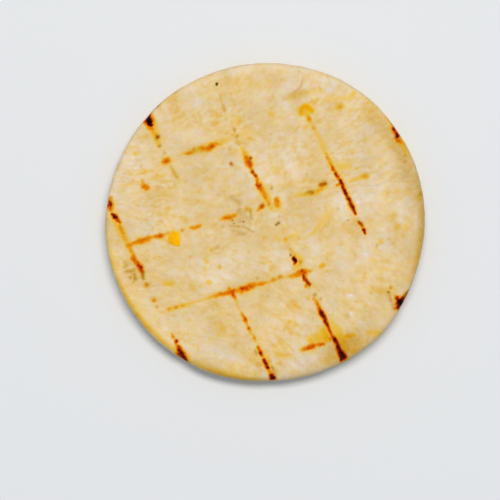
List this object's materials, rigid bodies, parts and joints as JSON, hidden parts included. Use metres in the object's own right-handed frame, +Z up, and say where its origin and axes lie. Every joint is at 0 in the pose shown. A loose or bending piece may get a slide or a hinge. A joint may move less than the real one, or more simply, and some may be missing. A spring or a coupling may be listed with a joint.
{
  "type": "grilled arepa corn cake",
  "caption": "Flat round cake of white corn dough with a rounded edge and shallow scorched grooves from a wire rack.",
  "frame": {"origin": "centre of the bounding box in plan, on the surface that the cake rests on", "axes": "+Z up through the cake's thickness, shown side up; +X and +Y lie in the plane of the cake, with the scorch lines running about 65 degrees below +X and 16 degrees above it"},
  "size_m": [0.1194, 0.1192, 0.0107],
  "materials": {
    "grilled_corn_dough": "matte, pale yellow cream corn dough with golden mottling and brown to black scorch lines"
  },
  "bodies": {
    "root": {"arepa_cake": "grilled_corn_dough"}
  },
  "joints": []
}
